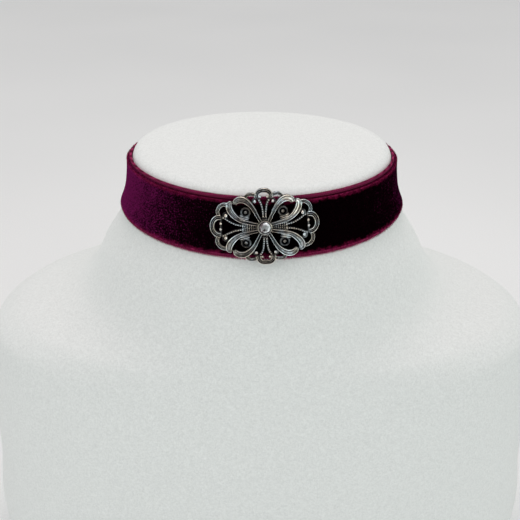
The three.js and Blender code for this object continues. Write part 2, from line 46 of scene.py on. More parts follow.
class Wire:
    """One output of a node. Sums of wires and numbers add Math nodes, and node() makes any other node."""

    def __init__(self, tree, socket=None):
        self.tree = tree
        self.socket = socket

    def node(self, kind, inputs=(), out=0, **settings):
        """Any other node: its settings are set first, then its sockets, from values or from wires."""
        made = self.tree.nodes.new("ShaderNode" + kind)
        for name, value in settings.items():
            setattr(made, name, value)
        for name, value in dict(inputs).items():
            if isinstance(value, Wire):
                self.tree.links.new(value.socket, made.inputs[name])
            else:
                made.inputs[name].default_value = value
        return Wire(self.tree, made.outputs[out] if len(made.outputs) else None)

    def math(self, operation, *terms, clamp=False):
        return self.node("Math", enumerate(terms), operation=operation, use_clamp=clamp)

    def __add__(self, other):
        return self.math("ADD", self, other)

    def __sub__(self, other):
        return self.math("SUBTRACT", self, other)

    def __rsub__(self, other):
        return self.math("SUBTRACT", other, self)

    def __mul__(self, other):
        return self.math("MULTIPLY", self, other)

    def __pow__(self, other):
        return self.math("POWER", self, other)

    __radd__ = __add__
    __rmul__ = __mul__

    def ramp(self, low, high):
        """Runs from 0 to 1 while this wire runs from low to high, and stays there."""
        return self.math("MULTIPLY_ADD", self, 1 / (high - low), -low / (high - low), clamp=True)

    def mixed(self, dark, light):
        """A colour between two others, with this wire as the share of the second."""
        return self.node("Mix", {0: self, 6: dark, 7: light}, out=2, data_type="RGBA")

    def stretched(self, x, y, z):
        """This vector with each of its parts scaled."""
        return self.node("VectorMath", {0: self, 1: (x, y, z)}, operation="MULTIPLY")

    def noise(self, scale, detail=2.0, roughness=0.5):
        """Clouds over this vector, whose size is the inverse of the scale, in metres."""
        inputs = {"Vector": self, "Scale": scale, "Detail": detail, "Roughness": roughness}
        return self.node("TexNoise", inputs)

    def bump(self, distance, strength=1.0, normal=None):
        inputs = {"Height": self, "Distance": distance, "Strength": strength}
        if normal:
            inputs["Normal"] = normal
        return self.node("Bump", inputs)


def colour(red, green, blue):
    """A colour given as it looks on a screen, from 0 to 255, in the shader's own scale."""
    parts = [v / 255 for v in (red, green, blue)]
    return tuple(v / 12.92 if v <= 0.04045 else ((v + 0.055) / 1.055) ** 2.4 for v in parts) + (1.0,)


def finish(name):
    """A new material, and the wire from which its nodes are made."""
    made = bpy.data.materials.new(name)
    made.use_nodes = True
    made.node_tree.nodes.clear()
    return made, Wire(made.node_tree)


def grid_faces(rows, columns, round_rows=False, round_columns=False):
    """The faces between rows of points, each of which runs anticlockwise when seen from outside."""
    row, column = np.meshgrid(
        np.arange(rows if round_rows else rows - 1),
        np.arange(columns if round_columns else columns - 1),
        indexing="ij",
    )
    below, beside = (row + 1) % rows, (column + 1) % columns
    here, under = row * columns, below * columns
    corners = [here + column, here + beside, under + beside, under + column]
    return np.stack(corners, axis=-1).reshape(-1, 4).tolist()


def piece(name, points, faces, finishes, fields=None, smooth=True):
    """A mesh object with its finishes, and numbers kept on its points under the names in fields."""
    mesh = bpy.data.meshes.new(name)
    mesh.from_pydata(np.asarray(points).tolist(), [], faces)
    mesh.validate()
    for field, values in (fields or {}).items():
        values = np.asarray(values, dtype=np.float32)
        wide = values.ndim > 1
        kept = mesh.attributes.new(field, "FLOAT_VECTOR" if wide else "FLOAT", "POINT")
        kept.data.foreach_set("vector" if wide else "value", values.ravel())
    for made in finishes:
        mesh.materials.append(made)
    mesh.polygons.foreach_set("use_smooth", [smooth] * len(mesh.polygons))
    new = bpy.data.objects.new(name, mesh)
    bpy.context.scene.collection.objects.link(new)
    return new


camera_data = bpy.data.cameras.new("camera")
camera_data.sensor_width = 36
camera_data.lens = 56.42
camera = bpy.data.objects.new("camera", camera_data)
camera_pitch, camera_yaw, camera_roll = (math.radians(a) for a in (63.25, 0.1, 0.3))
camera.matrix_world = (
    Matrix.Translation((0, -322.8 * mm, 311.6 * mm))
    @ Matrix.Rotation(camera_yaw, 4, "Z")
    @ Matrix.Rotation(camera_pitch, 4, "X")
    @ Matrix.Rotation(camera_roll, 4, "Z")
)
bpy.context.scene.collection.objects.link(camera)
bpy.context.scene.camera = camera
bpy.context.scene.view_settings.view_transform = "Standard"


def soft_light(name, place, towards, size, power, tone):
    data = bpy.data.lights.new(name, "AREA")
    data.shape = "SQUARE"
    data.size = size
    data.energy = power
    data.color = tone
    lamp = bpy.data.objects.new(name, data)
    lamp.location = place
    lamp.rotation_euler = (Vector(towards) - Vector(place)).to_track_quat("-Z", "Y").to_euler()
    bpy.context.scene.collection.objects.link(lamp)


bust_middle = (0, 0, 0.15)
soft_light("overhead_light", (0.03, 0.2, 0.85), bust_middle, 0.35, 1.25, (1.0, 0.955, 0.935))
soft_light("left_light", (-1.0, -0.5, 0.5), bust_middle, 0.5, 1.0, (0.97, 0.99, 1.0))
soft_light("window", (0.55, -1.05, 0.6), bust_middle, 0.4, 1.0, (0.92, 1.0, 0.98))
soft_light("left_card", (-0.85, -1.1, 0.28), (0, 0, 0.03), 0.5, 1.2, (0.9, 1.0, 0.97))
soft_light("right_card", (0.85, -1.1, 0.28), (0, 0, 0.03), 0.5, 1.6, (0.9, 1.0, 0.97))

world = bpy.data.worlds.new("pale_walls")
bpy.context.scene.world = world
world.use_nodes = True
world.node_tree.nodes.clear()
sky = Wire(world.node_tree)
direction = sky.node("TexCoord", out="Generated")
level = direction.node("SeparateXYZ", {0: direction}, out="Z")
walls = level.ramp(-0.1, 0.9).mixed((0.2, 0.34, 0.28, 1), (0.86, 0.81, 0.825, 1))
dark_side = (-0.25, -0.95, 0.18)
dark_side_share = direction.node(
    "VectorMath", {0: direction, 1: dark_side}, operation="DOT_PRODUCT", out="Value"
)
shaded = dark_side_share.ramp(0.82, 0.92).mixed(walls, (0.09, 0.085, 0.08, 1))
seen = sky.node("LightPath", out="Is Camera Ray").mixed(shaded, (0.66, 0.67, 0.665, 1))
sky.node("OutputWorld", {"Surface": sky.node("Background", {"Color": seen, "Strength": 1.0})})

table_finish, start = finish("pale_table")
spot = start.node("TexCoord", out="Object")
flecks = spot.noise(900.0, 3.0)
cloudy = spot.noise(3.0, 1.0)
spread = (cloudy * 0.4 + flecks * 0.8).ramp(0.3, 0.9)
table_shader = start.node(
    "BsdfPrincipled",
    {
        "Base Color": spread.mixed(colour(236, 237, 237), colour(249, 249, 249)),
        "Roughness": 0.85,
        "Specular IOR Level": 0.2,
        "Normal": flecks.bump(0.05 * mm),
    },
)
start.node("OutputMaterial", {"Surface": table_shader})
table_reach = 6.0
table = piece(
    "table",
    [(x * table_reach, y * table_reach, 0) for y in (-1, 1) for x in (-1, 1)],
    [[0, 1, 3, 2]],
    [table_finish],
)

# The bust: a hollow moulded neck and shoulders for showing jewellery, covered with short white velvet that is
# pulled smooth over it and glued under its foot. It stands on the table by its own weight.
bust_height = 202 * mm
bust_size = {"wide": 129 * mm, "front": 77 * mm, "back": 67 * mm}
neck_size = {"wide": 54 * mm, "front": 55.6 * mm, "back": 48 * mm}
neck_rounding = 5 * mm
base_rounding = 3 * mm
axis_y = (bust_size["front"] - bust_size["back"]) / 2

# Level sections: how far down, as a share of the height, how far each reach has grown from the neck's size to
# the bust's, and the power of the section's oval.
bust_sections = {
    "down": [0, 0.03, 0.075, 0.1, 0.12, 0.145, 0.175, 0.21, 0.245, 0.275, 0.3, 0.325, 0.355, 0.4, 0.48, 0.6,
             0.73, 0.86, 1],
    "wide": [0, 0.002, 0.015, 0.033, 0.055, 0.086, 0.137, 0.195, 0.24, 0.288, 0.355, 0.49, 0.75, 0.885, 0.91,
             0.94, 0.96, 1, 0.985],
    "front": [0, 0.02, 0.09, 0.165, 0.245, 0.35, 0.46, 0.55, 0.63, 0.69, 0.735, 0.775, 0.82, 0.88, 0.96, 1,
              0.96, 0.82, 0.6],
    "back": [0, 0, 0.02, 0.06, 0.12, 0.22, 0.36, 0.52, 0.67, 0.79, 0.87, 0.93, 0.97, 1, 0.97, 0.82, 0.56, 0.3,
             0.05],
    "square": [2, 2, 2, 2, 2, 2, 2, 2, 2.02, 2.05, 2.08, 2.12, 2.17, 2.22, 2.28, 2.32, 2.34, 2.34, 2.3],
}


def eased(levels, values, at):
    """A smooth curve through the values at those levels, without overshoot between them."""
    levels, values = np.array(levels, float), np.array(values, float)
    slopes = np.diff(values) / np.diff(levels)
    before, after = slopes[:-1], slopes[1:]
    turning = before * after <= 0
    inner = np.where(turning, 0, 2 * before * after / np.where(turning, 1, before + after))
    lean = np.concatenate([slopes[:1], inner, slopes[-1:]])
    i = np.clip(np.searchsorted(levels, at, side="right") - 1, 0, len(levels) - 2)
    span = levels[i + 1] - levels[i]
    t = np.clip((at - levels[i]) / span, 0, 1)
    rise = values[i + 1] - values[i]
    return values[i] + rise * t * t * (3 - 2 * t) + span * t * (1 - t) * (lean[i] * (1 - t) - lean[i + 1] * t)


def bust_reach(side, below):
    """How far the bust's skin reaches to that side, at a depth below the neck's top."""
    share = eased(bust_sections["down"], bust_sections[side], below / bust_height)
    return neck_size[side] + (bust_size[side] - neck_size[side]) * share


def skin(below, turn, out=0.0):
    """Points on the bust's skin, or out from it. turn is 0 at the front and grows towards +X."""
    below, turn, out = np.broadcast_arrays(*(np.asarray(v, float) for v in (below, turn, out)))
    wide, front, back = (bust_reach(side, below) for side in ("wide", "front", "back"))
    square = eased(bust_sections["down"], bust_sections["square"], below / bust_height)

    def level(at):
        across, forward = (np.sign(v) * np.abs(v) ** (2 / square) for v in (np.sin(at), np.cos(at)))
        return wide * across, axis_y - np.where(np.cos(at) > 0, front, back) * forward

    step = 0.001
    x, y = level(turn)
    ahead_x, ahead_y = (a - b for a, b in zip(level(turn + step), level(turn - step)))
    length = np.hypot(ahead_x, ahead_y)
    return np.stack([x + ahead_y / length * out, y - ahead_x / length * out, bust_height - below], axis=-1)


def make_bust(rows=150, sides=240, corner=8):
    quarter = np.linspace(0, math.pi / 2, corner)
    body = np.linspace(neck_rounding, bust_height - base_rounding, rows)[1:-1]
    foot = bust_height - base_rounding * (1 - np.cos(quarter[::-1]))
    below = [neck_rounding * (1 - np.cos(quarter)), body, foot]
    inset = [neck_rounding * (1 - np.sin(quarter)), 0 * body, base_rounding * (1 - np.sin(quarter[::-1]))]
    below, inset = np.concatenate(below), np.concatenate(inset)
    turn = np.linspace(0, 2 * math.pi, sides, endpoint=False)
    points = skin(below[:, None], -turn[None, :], -inset[:, None])
    count = len(below)
    faces = grid_faces(count, sides, round_columns=True)
    faces += [list(range(sides))[::-1], list(range((count - 1) * sides, count * sides))]
    return points.reshape(-1, 3), faces


bust_finish, start = finish("bust_velvet")
spot = start.node("TexCoord", out="Object")
nap = spot.noise(2600.0, 2.0, 0.6)
mottle = spot.noise(900.0, 2.0, 0.6)
pale = (nap * 0.65 + mottle * 0.35).ramp(0.3, 0.7)
bust_shader = start.node(
    "BsdfPrincipled",
    {
        "Base Color": pale.mixed(colour(220, 221, 220), colour(249, 250, 249)),
        "Roughness": 0.95,
        "Specular IOR Level": 0.15,
        "Sheen Weight": 0.35,
        "Sheen Roughness": 0.5,
        "Sheen Tint": (0.95, 0.95, 0.94, 1),
        "Normal": (nap + mottle * 0.6).bump(0.12 * mm, 0.6),
    },
)
start.node("OutputMaterial", {"Surface": bust_shader})
bust_points, bust_faces = make_bust()
bust = piece("bust_cover", bust_points, bust_faces, [bust_finish])
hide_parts("neck_bust")
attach(bust, "root")

# The ribbon: burgundy velvet woven as a narrow tape, with a bare twill selvedge along both edges and short
# dense pile between them, brushed to one side. It is pulled snug round the neck, and its ends meet behind.
ribbon_width = 22.6 * mm
ribbon_cloth = 0.9 * mm
ribbon_pile = 1.2 * mm
selvedge = 1.5 * mm
ribbon_below_top = 1.7 * mm
ribbon_back_drop = 6.5 * mm
seat_gap = 0.3 * mm
ribbon_middle = ribbon_below_top + ribbon_width / 2

clasp_plate = 0.7 * mm
clasp_web = 3 * mm
clasp_grip = 7 * mm
clasp_ease = 16 * mm
back_radius = neck_size["back"] + seat_gap + ribbon_cloth
ribbon_end = math.pi - (clasp_web / 2 + seat_gap) / back_radius


def ribbon_depth(side):
    """How far a line of the ribbon lies below the neck's top. side is -1 at its lower edge, 1 at its upper."""
    return ribbon_middle - side * ribbon_width / 2


def sag(turn):
    """How much lower the ribbon lies there than in front, where it is worn highest."""
    return ribbon_back_drop * ((1 - np.cos(turn)) / 2) ** 2


def stand_off(turn):
    """How far the ribbon's ends stand off the neck, to leave room for the clasp's inner plate."""
    from_end = (ribbon_end - np.abs(turn)) * back_radius - clasp_grip
    t = np.clip(from_end / clasp_ease, 0, 1)
    return (clasp_plate + seat_gap) * (1 - t * t * (3 - 2 * t))


def arc(centre, radius, start_angle, end_angle, count):
    angles = np.radians(np.linspace(start_angle, end_angle, count))
    return [(centre[0] + radius * math.cos(a), centre[1] + radius * math.sin(a)) for a in angles]


def ribbon_profile(inner_rows=4, pile_rows=10):
    """The cut across the ribbon, from the lower edge upwards, as (height over the middle, distance out)."""
    half = ribbon_width / 2
    inner = seat_gap * 0.5
    cloth = seat_gap + ribbon_cloth
    pile = cloth + ribbon_pile
    edge_radius = (cloth - inner) / 2
    pile_edge = half - selvedge
    pile_radius = 0.55 * mm
    outline = [(h, inner) for h in np.linspace(-half + edge_radius, half - edge_radius, inner_rows)]
    outline += arc((half - edge_radius, inner + edge_radius), edge_radius, -75, 90, 7)
    outline += [(half - 0.75 * mm, cloth - 0.1 * mm), (pile_edge + 0.2 * mm, cloth - 0.05 * mm)]
    outline += [(pile_edge - 0.02 * mm, cloth + 0.25 * mm)]
    outline += arc((pile_edge - 0.12 * mm - pile_radius, pile - pile_radius), pile_radius, 5, 85, 6)
    upper = outline[inner_rows:]
    pile_flat = pile_edge - 1.2 * mm
    outline += [(h, pile) for h in np.linspace(pile_flat, -pile_flat, pile_rows)]
    outline += [(-h, out) for h, out in reversed(upper)]
    return np.array(outline)


# The selvedge's outer thread bulges between its turns round the edge.
ribbon_steps = 1800
thread_pitch = 0.9 * mm
thread_bulge = 0.24 * mm
thread_reach = 0.9 * mm
thread_ease = 0.7 * mm
profile = ribbon_profile()
turns = np.linspace(-ribbon_end, ribbon_end, ribbon_steps)
middle_line = skin(ribbon_middle + sag(turns), turns, seat_gap + ribbon_cloth)
run = np.concatenate([[0], np.cumsum(np.linalg.norm(np.diff(middle_line, axis=0), axis=1))])
half_width = ribbon_width / 2
bulge = (abs(np.sin(run / thread_pitch * math.pi)) - 1) * thread_bulge
at_edge = np.clip((abs(profile[:, 0]) - half_width + thread_reach) / thread_ease, 0, 1) * np.sign(profile[:, 0])
ribbon_points = skin(
    ribbon_middle - profile[None, :, 0] + sag(turns)[:, None] - bulge[:, None] * at_edge[None, :],
    turns[:, None],
    profile[None, :, 1] + stand_off(turns)[:, None] + bulge[:, None] * 0.5 * abs(at_edge)[None, :],
)
cloth_place = np.stack(
    np.broadcast_arrays(run[:, None], profile[None, :, 0], profile[None, :, 1]), axis=-1
).reshape(-1, 3)
count = len(profile)
ribbon_faces = grid_faces(ribbon_steps, count, round_columns=True)
ribbon_faces += [list(range(count))[::-1], list(range((ribbon_steps - 1) * count, ribbon_steps * count))]

pile_dark = colour(5, 1, 2)
pile_finish, start = finish("burgundy_pile")
lie = start.node("Attribute", attribute_name="cloth", out="Vector")
tuft = lie.noise(2600.0, 2.0, 0.6)
clump = lie.noise(420.0, 3.0, 0.6)
rows = lie.node("TexWave", {"Vector": lie, "Scale": 420.0, "Distortion": 2.0}, bands_direction="X")
surface = start.node("NewGeometry", out="Normal")
sideways = surface.node("VectorMath", {0: surface, 1: (0, 0, 1)}, operation="CROSS_PRODUCT")
nap_lean = 0.42
along = lie.stretched(1, 0.5, 1)
brushed = lie.node("TexNoise", {"Vector": along, "Scale": 420.0, "Detail": 2.0}, out="Color")
ruffled = lie.node("TexNoise", {"Vector": lie, "Scale": 1900.0, "Detail": 1.0}, out="Color")


def swung(vector, by):
    """A noise colour as a vector that points any way, with the given reach."""
    centred = vector.node("VectorMath", {0: vector, 1: (0.5, 0.5, 0.5)}, operation="SUBTRACT")
    return centred.node("VectorMath", {0: centred, "Scale": by}, operation="SCALE")


def total(first, *others):
    for other in others:
        first = first.node("VectorMath", {0: first, 1: other}, operation="ADD")
    return first


leaning = total(
    surface,
    sideways.node("VectorMath", {0: sideways, "Scale": nap_lean}, operation="SCALE"),
    swung(brushed, 0.6),
    swung(ruffled, 2.4),
)
upright = leaning.node("VectorMath", {0: leaning}, operation="NORMALIZE")

height = lie.node("SeparateXYZ", {0: lie}, out="Y")
ragged = lie.noise(620.0, 3.0, 0.75) * 4.5 * mm
from_middle = height.math("ABSOLUTE", height)
# Painted sheen: the pile is painted magenta towards its borders, where its fibres catch the light, with a
# ragged edge.
painted_border_sheen = (from_middle + ragged).ramp(half_width - selvedge + 0.9 * mm, half_width - selvedge + 2.6 * mm)
# Painted shadow: the pile's edge beside the selvedge is painted dark, as the shadow in the gap between them.
clear_of_painted_gap_shadow = from_middle.ramp(half_width - selvedge + 0.15 * mm, half_width - selvedge - 0.25 * mm)
# Painted glints: scattered specks of the pile are painted brighter, as sparkle.
painted_glints = tuft.ramp(0.66, 0.8) * clump.ramp(0.4, 0.65) * 0.5
painted_sheen_share = (painted_border_sheen * clear_of_painted_gap_shadow * (tuft * 1.8 + 0.2) + painted_glints).ramp(0.0, 1.0)
pile_colour_with_painted_sheen = painted_sheen_share.mixed(pile_dark, colour(110, 18, 56))
pile_height = tuft * 0.6 + clump * 0.5 + rows * 0.15
pile_shader = start.node(
    "BsdfPrincipled",
    {
        "Base Color": pile_colour_with_painted_sheen,
        "Roughness": 0.95,
        "Specular IOR Level": 0.0,
        "Sheen Weight": 0.6,
        "Sheen Roughness": 0.3,
        "Sheen Tint": colour(196, 52, 146),
        "Normal": pile_height.bump(0.12 * mm, 0.6, upright),
    },
)
start.node("OutputMaterial", {"Surface": pile_shader})

selvedge_finish, start = finish("burgundy_selvedge")
lie = start.node("Attribute", attribute_name="cloth", out="Vector")
strand = lie.node("VectorRotate", {"Vector": lie, "Angle": math.radians(35)}, rotation_type="Z_AXIS")
twill = strand.node("TexWave", {"Vector": strand, "Scale": 480.0, "Distortion": 1.0}, bands_direction="X")
thread = lie.noise(1500.0, 2.0)
from_middle = lie.node("SeparateXYZ", {0: lie}, out="Y")
# Painted shadow: the selvedge is painted darker towards the pile, as the pile's shadow, and brighter at its
# outer edge; the twill gives its weave.
outwards = from_middle.math("ABSOLUTE", from_middle).ramp(half_width - selvedge, half_width - 0.3 * mm)
twill_and_painted_shadow = (twill * 0.7 + thread * 0.3).ramp(0.25, 0.85) * (outwards * 0.8 + 0.2)
selvedge_shader = start.node(
    "BsdfPrincipled",
    {
        "Base Color": twill_and_painted_shadow.mixed(colour(84, 14, 42), colour(190, 58, 112)),
        "Roughness": 0.8,
        "Specular IOR Level": 0.1,
        "Sheen Weight": 0.15,
        "Sheen Roughness": 0.4,
        "Sheen Tint": colour(200, 90, 160),
        "Normal": (twill + thread * 0.4).bump(0.3 * mm, 1.0),
    },
)
start.node("OutputMaterial", {"Surface": selvedge_shader})

ribbon = piece(
    "ribbon_tape",
    ribbon_points.reshape(-1, 3),
    ribbon_faces,
    [pile_finish, selvedge_finish],
    {"cloth": cloth_place},
)
pile_from = seat_gap + ribbon_cloth + 0.1 * mm
on_cloth = cloth_place[:, 2] < pile_from
mostly_bare = [np.mean([on_cloth[v] for v in face.vertices]) > 0.5 for face in ribbon.data.polygons]
ribbon.data.polygons.foreach_set("material_index", np.array(mostly_bare, dtype=int))
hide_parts("velvet_ribbon")
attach(ribbon, "root")

fibre_finish, start = finish("burgundy_fibres")
spot = start.node("TexCoord", out="Object")
fibre_shader = start.node(
    "BsdfPrincipled",
    {
        "Base Color": spot.noise(900.0, 1.0).ramp(0.35, 0.65).mixed(colour(84, 16, 44), colour(184, 54, 106)),
        "Roughness": 0.9,
        "Specular IOR Level": 0.05,
    },
)
start.node("OutputMaterial", {"Surface": fibre_shader})

chance = np.random.default_rng(11)
fibre_half_width = 0.055 * mm
fibre_bow = 0.05 * mm


def fibres(count, height, out, lift, reach, cluster=0.0):
    """Loose fibres rooted along the ribbon at a height over its middle, as thin pointed blades. They lean up by
    lift, reach so far at most, and stand in clusters so far apart if cluster isn't 0."""
    turn = chance.uniform(-ribbon_end, ribbon_end, count)
    if cluster:
        step = cluster / (run[-1] / (2 * ribbon_end))
        turn = np.round(turn / step) * step + chance.normal(0, 0.13 * step, count)
    turn = np.clip(turn, -ribbon_end, ribbon_end)
    rise = height + chance.normal(0, 0.1 * mm, count)
    depth, level = ribbon_middle - rise + sag(turn), out + stand_off(turn)
    root = skin(depth, turn, level)
    outward = (skin(depth, turn, level + mm) - root) / mm
    aside = np.cross(outward, (0, 0, 1))
    swing = chance.normal(0, 0.35, (count, 2))
    way = outward * (1 - abs(lift) + swing[:, :1] * 0.4) + aside * swing[:, 1:]
    way[:, 2] += lift
    way /= np.linalg.norm(way, axis=1)[:, None]
    tip = root + way * (reach * chance.uniform(0.45, 1.0, count))[:, None]
    half = aside * fibre_half_width
    middle = (root + tip) / 2 + outward * fibre_bow
    corners = [root - half, root + half, middle + half * 0.8, tip, middle - half * 0.8]
    return np.stack(corners, axis=1).reshape(-1, 3)


cloth_face = seat_gap + ribbon_cloth
pile_face = cloth_face + ribbon_pile
fibre_points = np.concatenate(
    [
        fibres(5200, half_width - 0.15 * mm, cloth_face - 0.3 * mm, 0.7, 0.6 * mm, 0.8 * mm),
        fibres(5200, -half_width + 0.15 * mm, cloth_face - 0.3 * mm, -0.7, 0.6 * mm, 0.8 * mm),
        fibres(6500, half_width - selvedge - 0.3 * mm, pile_face - 0.25 * mm, 0.6, 0.7 * mm),
        fibres(6500, -half_width + selvedge + 0.3 * mm, pile_face - 0.25 * mm, -0.6, 0.7 * mm),
    ]
)
fibre_faces = [[5 * i + k for k in range(5)] for i in range(len(fibre_points) // 5)]
fuzz = piece("ribbon_fuzz", fibre_points, fibre_faces, [fibre_finish])
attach(fuzz, "root")

# The clasp: two leaves of brushed steel on a web, which hold both ends of the ribbon behind the neck. The outer
# leaf has a shallow pressed panel, and every edge is rounded.
clasp_inset = 1.6 * mm
clasp_outer = 3 * seat_gap + clasp_plate + ribbon_cloth + ribbon_pile
clasp_corner = 0.3 * mm
clasp_panel = 0.14 * mm
clasp_border = 1.6


def clasp_leaf(half_wide, inner, outer, panel=0.0, long=36, tall=40):
    """A closed leaf of the clasp between two distances from the neck, with rounded edges."""
    sweep = np.linspace(-math.pi / 2, math.pi / 2, 7)
    run_out = np.linspace(-1, 1, long)
    width = np.concatenate([run_out, 1 + 0 * sweep, run_out[::-1], -1 + 0 * sweep])
    round_out = np.concatenate([0 * run_out, np.cos(sweep), 0 * run_out, -np.cos(sweep)])
    thick = np.concatenate([-1 + 0 * run_out, np.sin(sweep), 1 + 0 * run_out, -np.sin(sweep)])
    rise = np.linspace(-1, 1, tall)
    half_tall = half_width - clasp_inset
    from_end = np.clip((1 - abs(rise)) * half_tall / clasp_corner, 0, 1)
    shrink = clasp_corner * (1 - np.sqrt(1 - (1 - from_end) ** 2))[:, None]
    half_thick = (outer - inner) / 2
    across = width[None, :] * (half_wide - half_thick - shrink) + round_out[None, :] * half_thick
    from_side = np.minimum(half_wide - abs(across), (half_tall - abs(rise) * half_tall)[:, None])
    t = np.clip(from_side / mm - clasp_border, 0, 1)
    pressed = panel * t * t * (3 - 2 * t)
    out = (inner + outer) / 2 + thick[None, :] * np.maximum(half_thick - shrink, 0.1 * mm) - pressed
    turn = math.pi + across / back_radius
    points = skin(ribbon_middle - (rise * half_tall)[:, None] + sag(math.pi), turn, out)
    count = len(width)
    faces = grid_faces(tall, count, round_columns=True)
    faces += [list(range(count))[::-1], list(range((tall - 1) * count, tall * count))]
    return points.reshape(-1, 3), [face[::-1] for face in faces]


steel_finish, start = finish("clasp_steel")
spot = start.node("TexCoord", out="Object")
grain = spot.stretched(1, 1, 0.06).noise(2600.0, 2.0)
wear = spot.noise(180.0, 3.0)
steel_shader = start.node(
    "BsdfPrincipled",
    {
        "Base Color": wear.ramp(0.35, 0.7).mixed(colour(120, 119, 117), colour(160, 159, 157)),
        "Metallic": 1.0,
        "Roughness": (grain * 0.3 + wear * 0.15) + 0.12,
        "Normal": grain.bump(0.05 * mm, 0.7),
    },
)
start.node("OutputMaterial", {"Surface": steel_shader})
clasp_reach = clasp_web / 2 + seat_gap + clasp_grip
leaves = [
    clasp_leaf(clasp_reach, seat_gap, seat_gap + clasp_plate),
    clasp_leaf(clasp_web / 2, seat_gap + clasp_plate / 2, clasp_outer + clasp_plate / 2),
    clasp_leaf(clasp_reach, clasp_outer, clasp_outer + clasp_plate, clasp_panel),
]
clasp_points, clasp_faces = [], []
for leaf_points, leaf_faces in leaves:
    first = sum(len(each) for each in clasp_points)
    clasp_faces += [[first + v for v in face] for face in leaf_faces]
    clasp_points.append(leaf_points)
clasp = piece("clasp_plate", np.concatenate(clasp_points), clasp_faces, [steel_finish])
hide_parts("back_clasp")
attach(clasp, "root")

# The ornament: one white metal casting of petals, arches, stems, beads and florets round a cup, plated with
# silver, blackened, and rubbed bright on its high places. It is domed, and stitched to the ribbon's front.
half_across = 20 * mm
half_up = 13.9 * mm
ornament_shift = 1.2 * mm
ornament_rise = 1.6 * mm
ornament_tilt = math.radians(2.6)
ornament_dome = 1.3 * mm
petal_width = 2.1 * mm
cast_thickness = 1.75 * mm
quarters = [(1, 1), (-1, 1), (-1, -1), (1, -1)]

# across and up are shares of half the ornament's width and height, wide and radius shares of a petal's width,
# and low, tall, trough and high shares of the casting's thickness.
petal_form = dict(
    wide=[0.48, 0.52, 0.65, 0.85, 1.05, 1.13, 0.98, 0.6],
    low=0.08,
    tall=1,
    trough=0.3,
    hollow_rubbing_and_painted_highlight=(0.3, 0.95),
)
strips = [
    dict(path=[(0.065, 0.14), (0.13, 0.32), (0.19, 0.49), (0.265, 0.62), (0.35, 0.705), (0.44, 0.72),
               (0.505, 0.67), (0.525, 0.585)], **petal_form),
    dict(path=[(0.105, 0.075), (0.24, 0.12), (0.37, 0.165), (0.475, 0.24), (0.56, 0.35), (0.62, 0.485),
               (0.625, 0.6), (0.57, 0.635)], **petal_form),
    dict(path=[(0.64, 0.57), (0.74, 0.575), (0.815, 0.51), (0.85, 0.4), (0.825, 0.26)],
         wide=[0.57, 0.64, 0.64, 0.64, 0.57], low=0.03, tall=0.7, trough=0.23, beads=0.11),
    dict(path=[(0.13, 0.8), (0.2, 0.85), (0.29, 0.845), (0.355, 0.75)],
         wide=[0.52, 0.57, 0.57, 0.52], low=0.03, tall=0.7, trough=0.23, beads=0.11),
    dict(path=[(0.022, 0.27), (0.03, 0.45), (0.05, 0.6), (0.09, 0.71), (0.13, 0.75)],
         wide=[0.43, 0.45, 0.45, 0.43, 0.38], low=0.06, tall=0.6, trough=-0.09, beads=0.19),
    dict(path=[(0.36, 0.045), (0.5, 0.08), (0.62, 0.15), (0.72, 0.23), (0.78, 0.25)],
         wide=[0.43, 0.45, 0.45, 0.45, 0.43], low=0.06, tall=0.6, trough=-0.09, beads=0.19),
]


def flat(places, way=(1, 1)):
    """Points of the flat ornament, from shares of its half width and half height, mirrored to one quarter."""
    return np.array(places, float).reshape(-1, 2) * (half_across * way[0], half_up * way[1])


def spline(points, at, closed=False):
    """A smooth curve through the points, whose bends stay tight where the points are close together."""
    count = len(points)
    if closed:
        ring = points[np.arange(-1, count + 2) % count]
    else:
        ring = np.concatenate([[2 * points[0] - points[1]], points, [2 * points[-1] - points[-2]]])
    i = np.clip(np.floor(at).astype(int), 0, (count if closed else count - 1) - 1)
    a, b, c, d = (ring[i + k] for k in range(4))
    gap = [np.linalg.norm(q - p, axis=1)[:, None] ** 0.5 for p, q in ((a, b), (b, c), (c, d))]
    start_lean = ((b - a) / gap[0] - (c - a) / (gap[0] + gap[1]) + (c - b) / gap[1]) * gap[1]
    end_lean = ((c - b) / gap[1] - (d - b) / (gap[1] + gap[2]) + (d - c) / gap[2]) * gap[1]
    t = (at - i)[:, None]
    return (
        (2 * t**3 - 3 * t**2 + 1) * b
        + (t**3 - 2 * t**2 + t) * start_lean
        + (3 * t**2 - 2 * t**3) * c
        + (t**3 - t**2) * end_lean
    )


cast = {"points": [], "faces": [], "polish_and_painted_highlight": []}
cast_count = 0


def add_cast(points, faces, polish_and_painted_highlight):
    """Adds a closed form to the flat casting. polish runs from 0, left black, to 1, rubbed bright; on the
    petals' hollows it also holds a painted highlight.
    """
    global cast_count
    points = np.asarray(points).reshape(-1, 3)
    cast["points"].append(points)
    cast["faces"] += [[v + cast_count for v in face] for face in faces]
    cast["polish_and_painted_highlight"].append(np.broadcast_to(polish_and_painted_highlight, len(points)).ravel())
    cast_count += len(points)


def strip_cut(trough):
    """A strip's cut as (share across, share of its height, polish), anticlockwise from its lower left."""
    if trough > 0:
        side = [(0.5, 0, 0), (0.5, 0.5, 0.05), (0.495, 0.78, 0.3)]
        side += [(0.47, 0.93, 0.9), (0.43, 1, 1), (0.37, 0.98, 0.8)]
        hollow = np.linspace(0.33, -0.33, 9)
        middle = [(s, 1 - trough * (1 - (s / 0.38) ** 2), -1 + abs(s / 0.38) ** 3) for s in hollow]
    else:
        side = [(0.5, 0, 0), (0.5, 0.55, 0.05), (0.44, 0.8, 0.2), (0.3, 0.94, 0.3), (0.12, 1, 0.35)]
        middle = []
    return side + middle + [(-s, h, p) for s, h, p in reversed(side)]


strip_spacing = 0.34 * mm
end_crowding = 0.14
end_height = 0.55


